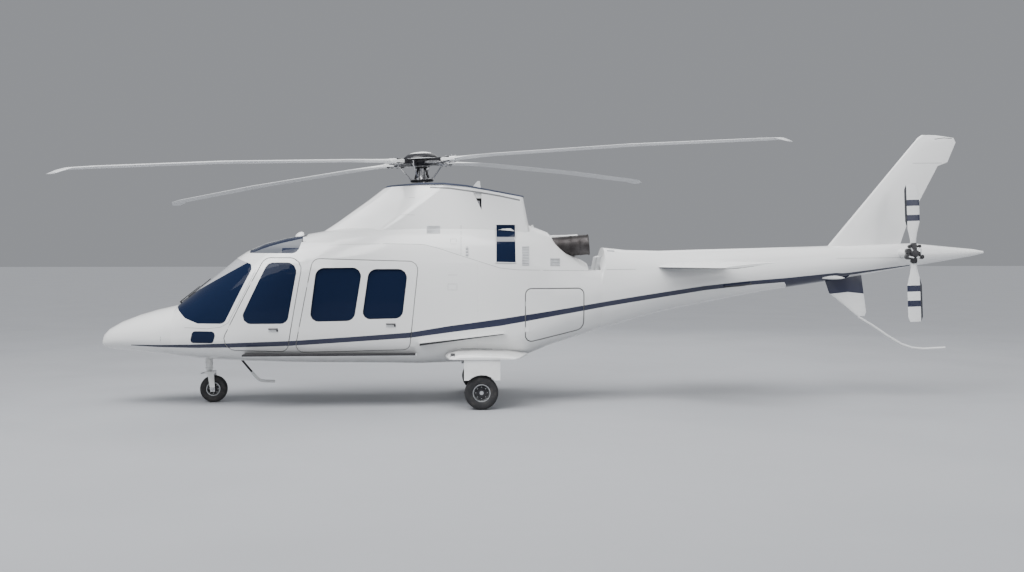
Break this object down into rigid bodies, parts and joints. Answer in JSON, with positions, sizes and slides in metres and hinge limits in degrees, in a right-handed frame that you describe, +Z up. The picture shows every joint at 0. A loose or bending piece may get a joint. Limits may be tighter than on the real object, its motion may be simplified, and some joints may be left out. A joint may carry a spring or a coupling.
{
  "type": "twin-engine light helicopter",
  "caption": "Light twin-engine helicopter on wheeled gear, with turning rotors and wheels, a castoring nose leg, and hinged cockpit, cabin and baggage doors.",
  "frame": {"origin": "on the ground, at the middle of the footprint of the whole helicopter's box", "axes": "+X towards the nose, +Y to port, +Z up"},
  "size_m": [12.086, 8.1956, 3.647],
  "materials": {
    "white_paint": "gloss",
    "tinted_glass": "polished",
    "exhaust_metal": "satin",
    "gearbox_metal": "satin",
    "seat_leather": "satin",
    "tyre_rubber": "matte",
    "black_hub": "satin",
    "steel": "satin",
    "grey_metal": "satin",
    "deck_grey": "satin",
    "dark_step": "matte",
    "black_panel": "matte",
    "blade_paint": "satin"
  },
  "bodies": {
    "root": {"cabin_bench": "seat_leather", "cabin_shell": "white_paint", "chin_window_left": "tinted_glass", "chin_window_right": "tinted_glass", "engine_cowl_left": "white_paint", "engine_cowl_right": "white_paint", "engine_left": "exhaust_metal", "engine_right": "exhaust_metal", "fin": "white_paint", "instrument_panel": "black_panel", "main_gearbox": "gearbox_metal", "main_leg_left": "white_paint", "main_leg_right": "white_paint", "mast_fairing": "white_paint", "nose_cone": "white_paint", "nose_leg": "white_paint", "overhead_window_left": "tinted_glass", "overhead_window_right": "tinted_glass", "pilot_seat_left": "seat_leather", "pilot_seat_right": "seat_leather", "rear_fuselage": "white_paint", "sponson_left": "white_paint", "sponson_right": "white_paint", "stabiliser_left": "white_paint", "stabiliser_right": "white_paint", "step_left": "dark_step", "step_right": "dark_step", "strake_left": "white_paint", "strake_right": "white_paint", "tail_boom": "white_paint", "tail_gearbox": "grey_metal", "tail_skid": "white_paint", "top_deck": "deck_grey", "ventral_fin": "white_paint", "windscreen": "tinted_glass"},
    "main_rotor": {"rotor_hub": "black_hub", "rotor_mast": "steel", "main_blade_1": "blade_paint", "main_blade_2": "blade_paint", "main_blade_3": "blade_paint", "main_blade_4": "blade_paint"},
    "tail_rotor": {"tail_hub": "black_hub", "tail_blades": "blade_paint"},
    "pilot_door_left": {"pilot_door_left": "white_paint", "pilot_window_left": "tinted_glass"},
    "pilot_door_right": {"pilot_door_right": "white_paint", "pilot_window_right": "tinted_glass"},
    "cabin_door_left": {"cabin_door_left": "white_paint", "cabin_window_left": "tinted_glass"},
    "cabin_door_right": {"cabin_door_right": "white_paint", "cabin_window_right": "tinted_glass"},
    "baggage_door": {"baggage_door": "white_paint"},
    "main_wheel_left": {"main_wheel_left": "tyre_rubber"},
    "main_wheel_right": {"main_wheel_right": "tyre_rubber"},
    "nose_steer": {"nose_fork": "grey_metal"},
    "nose_wheel": {"nose_wheel": "tyre_rubber"}
  },
  "joints": [
    {"name": "main_rotor_spin", "type": "hinge", "parent": "root", "child": "main_rotor", "pos_m": [1.849, 0, 3.251], "axis": [0.055, 0, 0.9985], "continuous": true},
    {"name": "tail_rotor_spin", "type": "hinge", "parent": "root", "child": "tail_rotor", "pos_m": [-4.813, 0.55, 1.988], "axis": [0, 1, 0], "continuous": true},
    {"name": "pilot_door_left_hinge", "type": "hinge", "parent": "root", "child": "pilot_door_left", "pos_m": [4.432, 0.72377, 0.745], "axis": [0.4463, 0, -0.8949], "range_deg": [0, 75]},
    {"name": "pilot_door_right_hinge", "type": "hinge", "parent": "root", "child": "pilot_door_right", "pos_m": [4.432, -0.72377, 0.745], "axis": [-0.4463, 0, 0.8949], "range_deg": [0, 75]},
    {"name": "cabin_door_left_hinge", "type": "hinge", "parent": "root", "child": "cabin_door_left", "pos_m": [3.446, 0.79191, 0.712], "axis": [0.1853, 0, -0.9827], "range_deg": [0, 80]},
    {"name": "cabin_door_right_hinge", "type": "hinge", "parent": "root", "child": "cabin_door_right", "pos_m": [3.446, -0.79191, 0.712], "axis": [-0.1853, 0, 0.9827], "range_deg": [0, 80]},
    {"name": "baggage_door_hinge", "type": "hinge", "parent": "root", "child": "baggage_door", "pos_m": [0.479, 0.76531, 0.815], "axis": [0, 0, -1], "range_deg": [0, 90]},
    {"name": "main_wheel_left_spin", "type": "hinge", "parent": "root", "child": "main_wheel_left", "pos_m": [1.061, 1.075, 0.21514], "axis": [0, 1, 0], "continuous": true},
    {"name": "main_wheel_right_spin", "type": "hinge", "parent": "root", "child": "main_wheel_right", "pos_m": [1.061, -1.075, 0.21514], "axis": [0, 1, 0], "continuous": true},
    {"name": "nose_steer", "type": "hinge", "parent": "root", "child": "nose_steer", "pos_m": [4.66, 0, 0.42], "axis": [0, 0, 1], "range_deg": [-45, 45]},
    {"name": "nose_wheel_spin", "type": "hinge", "parent": "nose_steer", "child": "nose_wheel", "pos_m": [4.6, 0, 0.17945], "axis": [0, 1, 0], "continuous": true}
  ]
}
